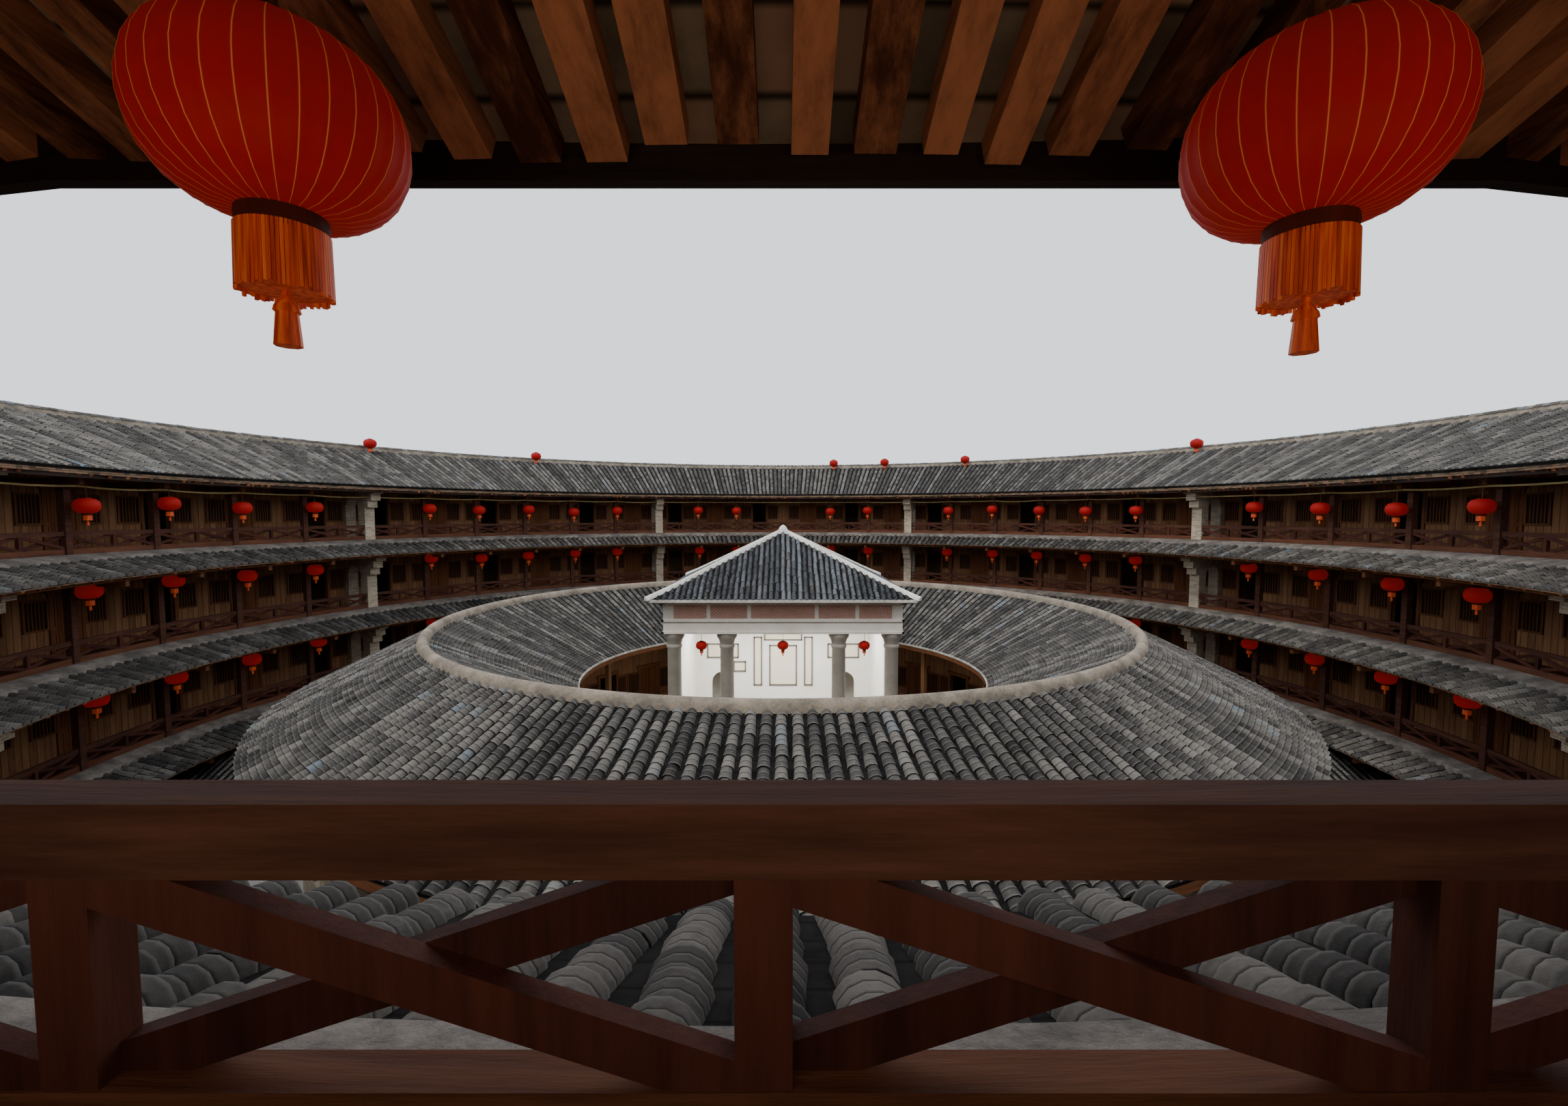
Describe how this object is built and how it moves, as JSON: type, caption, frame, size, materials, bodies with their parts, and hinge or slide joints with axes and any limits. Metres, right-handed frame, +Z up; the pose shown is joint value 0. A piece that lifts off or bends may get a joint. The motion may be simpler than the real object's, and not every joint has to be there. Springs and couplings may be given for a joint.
{
  "type": "tulou roundhouse, 1:2 scale model",
  "caption": "Round earth-walled clan house at half scale: outer ring of timber galleries and brick fire walls under a tiled ring roof, lower inner ring and a square hall with a pyramid roof.",
  "frame": {"origin": "on the level ground at the centre of the rings", "axes": "+Z up, +Y towards the rear, so the main gate faces -Y; +X to the right of someone who enters"},
  "size_m": [30.1896, 30.1029, 7.73],
  "materials": {
    "rammed_earth": "pale yellow rammed earth in level courses",
    "stone": "rough grey stone",
    "brick": "grey-beige brick with pale joints",
    "timber": "dark red-brown oiled timber",
    "roof_tile": "weathered grey clay tile",
    "lime_ridge": "weathered lime mortar",
    "plaster": "off-white lime plaster",
    "pale_stone": "dressed pale stone",
    "lantern_cloth": "red lantern cloth",
    "gilt": "gold lantern caps and fringe"
  },
  "bodies": {
    "root": {"earth_wall_rear": "rammed_earth", "earth_wall_right": "rammed_earth", "earth_wall_front": "rammed_earth", "earth_wall_left": "rammed_earth", "earth_wall_rear_top": "rammed_earth", "earth_wall_front_top": "rammed_earth", "stone_plinth_rear": "stone", "stone_plinth_front_right": "stone", "stone_plinth_front_left": "stone", "gate_surround_front": "stone", "gate_surround_right": "stone", "gate_surround_left": "stone", "pent_roof_2": "roof_tile", "pent_roof_3": "roof_tile", "pent_roof_4": "roof_tile", "fire_wall_1": "brick", "fire_wall_2": "brick", "fire_wall_3": "brick", "fire_wall_4": "brick", "fire_wall_5": "brick", "fire_wall_6": "brick", "fire_wall_7": "brick", "fire_wall_8": "brick", "gallery_rear": "timber", "rooms_rear": "timber", "gallery_rear_right": "timber", "rooms_rear_right": "timber", "gallery_right": "timber", "rooms_right": "timber", "gallery_front_right": "timber", "rooms_front_right": "timber", "gallery_front": "timber", "rooms_front": "timber", "gallery_front_left": "timber", "rooms_front_left": "timber", "gallery_left": "timber", "rooms_left": "timber", "gallery_rear_left": "timber", "rooms_rear_left": "timber", "main_roof_inner": "roof_tile", "main_roof_outer": "roof_tile", "main_ridge": "lime_ridge", "inner_wall_right": "brick", "inner_gallery_right": "timber", "inner_wall_left": "brick", "inner_gallery_left": "timber", "inner_roof_inner": "roof_tile", "inner_roof_outer": "roof_tile", "inner_ridge": "lime_ridge", "link_right": "timber", "link_left": "timber", "hall_platform": "stone", "hall_column_1": "pale_stone", "hall_column_2": "pale_stone", "hall_column_3": "pale_stone", "hall_column_4": "pale_stone", "hall_walls": "plaster", "hall_screen": "plaster", "hall_entablature": "pale_stone", "hall_roof": "roof_tile"}
  },
  "joints": []
}
